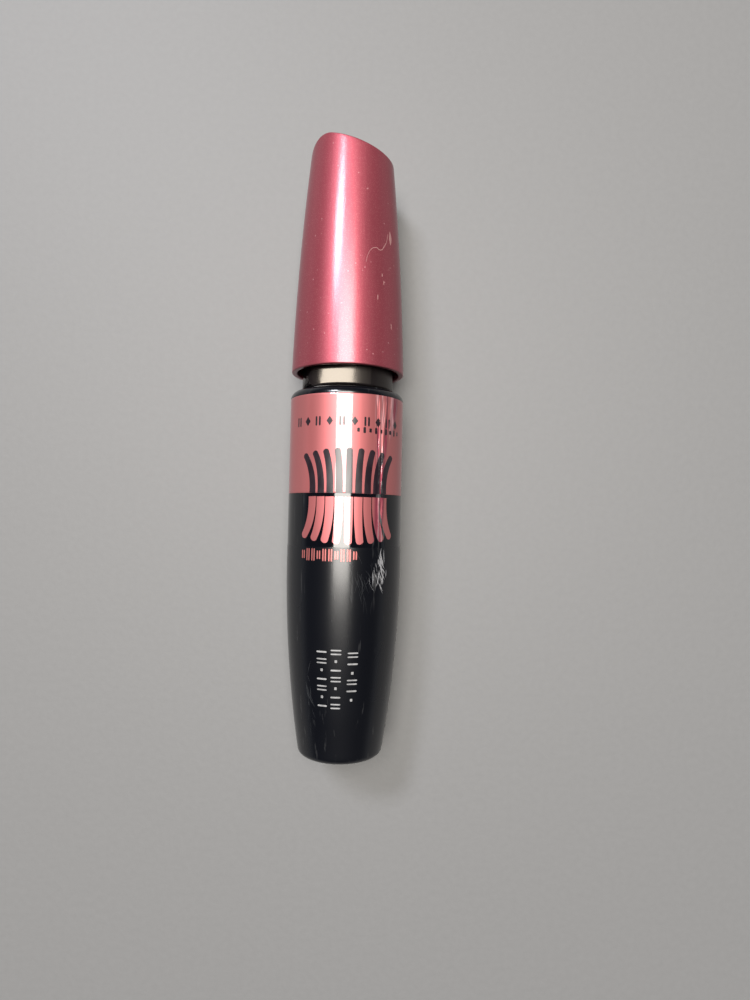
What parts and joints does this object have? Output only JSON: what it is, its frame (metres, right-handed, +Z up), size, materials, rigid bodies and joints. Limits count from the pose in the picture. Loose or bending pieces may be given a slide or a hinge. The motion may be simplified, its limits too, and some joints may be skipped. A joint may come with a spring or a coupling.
{
  "type": "mascara tube",
  "caption": "Closed mascara tube lying on its side: tapering round bottle with a foil band, screw cap with a slanted top, and a brush wand on a stem.",
  "frame": {"origin": "on the table under the middle of the tube's length: the bottom centre of the bounding box of the closed tube lying on its side", "axes": "+Y along the tube from the bottle's base to the cap's tip, +Z up from the table, +X across the tube"},
  "size_m": [0.019, 0.102, 0.019],
  "materials": {
    "bottle_plastic": "high gloss black, fine scuffs",
    "foil": "rose-pink hot-stamped metallic foil with fine creases",
    "cap_lacquer": "rose-pink pearl lacquer over moulded plastic, semi-gloss",
    "cap_liner": "gloss black",
    "wiper_rubber": "soft translucent natural polyethylene",
    "stem_plastic": "satin black",
    "wire": "twisted stainless wire",
    "fibre": "matt black nylon fibres",
    "paste": "thick wet black paste"
  },
  "bodies": {
    "bottle_body": {"bottle": "bottle_plastic", "foil_band": "foil", "wiper": "wiper_rubber"},
    "stirred_paste": {"mascara_paste": "paste"},
    "climbing_paste": {"brush_paste": "paste"},
    "wand": {"cap_shell": "cap_lacquer", "inner_cap": "cap_liner", "stem": "stem_plastic", "brush_wire": "wire", "bristles": "fibre"}
  },
  "joints": [
    {"name": "cap_turn", "type": "hinge", "parent": "bottle_body", "child": "stirred_paste", "pos_m": [0, 0, 0.0095], "axis": [0, 1, 0], "range_deg": [0, 450]},
    {"name": "cap_climb", "type": "slide", "parent": "stirred_paste", "child": "climbing_paste", "axis": [0, 1, 0], "range_m": [0, 0.00301]},
    {"name": "wand_draw", "type": "slide", "parent": "climbing_paste", "child": "wand", "axis": [0, 1, 0], "range_m": [0, 0.075], "deforming": ["bristles"]}
  ],
  "couplings": [
    {"joint": "cap_climb", "follows": "cap_turn", "m_per_rad": 0.00038197}
  ]
}
